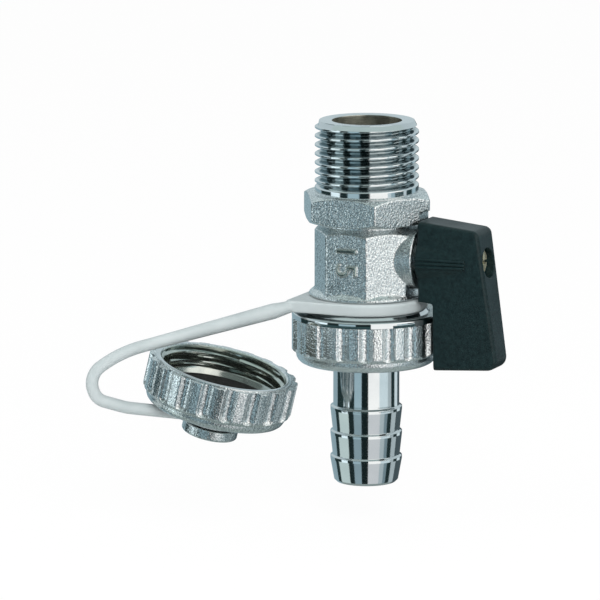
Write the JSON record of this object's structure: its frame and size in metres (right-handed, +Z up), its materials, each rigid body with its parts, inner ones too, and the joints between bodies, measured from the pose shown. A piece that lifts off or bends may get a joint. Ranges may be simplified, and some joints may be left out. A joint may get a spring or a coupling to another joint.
{
  "type": "drain cock",
  "caption": "Ball-type drain cock with a threaded inlet, quarter-turn lever, ribbed union nut with hose tail, and a screw cap tethered by a moulded strap.",
  "frame": {"origin": "centre of the hexagon's top face, at the root of the inlet thread", "axes": "+Z up the flow axis out of the inlet, +X along the stem towards the lever"},
  "size_m": [0.0722, 0.0578, 0.074],
  "materials": {
    "plated_forging": "nickel plated, blasted",
    "plated_turning": "nickel plated, turned and bright",
    "plated_ball": "polished",
    "seat_polymer": "smooth",
    "seal_rubber": "matte",
    "lever_polymer": "satin, moulded",
    "screw_steel": "zinc plated",
    "strap_polymer": "translucent, moulded"
  },
  "bodies": {
    "valve": {"valve_body": "plated_forging", "inlet_seat": "seat_polymer", "outlet_seat": "seat_polymer", "seat_retainer": "plated_turning", "stem_washer": "seat_polymer"},
    "lever": {"handle": "lever_polymer", "handle_screw": "screw_steel", "stem": "plated_turning", "stem_o_ring_inner": "seal_rubber", "stem_o_ring_outer": "seal_rubber", "ball": "plated_ball"},
    "hose_tail": {"hose_tail": "plated_turning", "tail_gasket": "seal_rubber"},
    "union_nut": {"union_nut": "plated_forging"},
    "strap": {"cap_strap": "strap_polymer"},
    "cap": {"cap": "plated_forging", "cap_gasket": "seal_rubber"}
  },
  "joints": [
    {"name": "lever_turn", "type": "hinge", "parent": "valve", "child": "lever", "pos_m": [0.0128, 0, -0.0127], "axis": [-1, 0, 0], "range_deg": [0, 90]},
    {"name": "tail_slide", "type": "slide", "parent": "valve", "child": "hose_tail", "axis": [0, 0, -1], "range_m": [0, 0.00681]},
    {"name": "nut_turn", "type": "hinge", "parent": "hose_tail", "child": "union_nut", "pos_m": [0, 0, -0.029], "axis": [0, 0, -1], "range_deg": [0, 1350]},
    {"name": "strap_swing", "type": "hinge", "parent": "valve", "child": "strap", "pos_m": [0, 0, -0.02227], "axis": [0, 0, 1], "range_deg": [-180, 90]},
    {"name": "cap_spin", "type": "hinge", "parent": "strap", "child": "cap", "pos_m": [-0.02344, -0.02344, -0.0438], "axis": [0.2402, 0, 0.9707], "continuous": true}
  ],
  "couplings": [
    {"joint": "tail_slide", "follows": "nut_turn", "m_per_rad": 0.00028871}
  ]
}
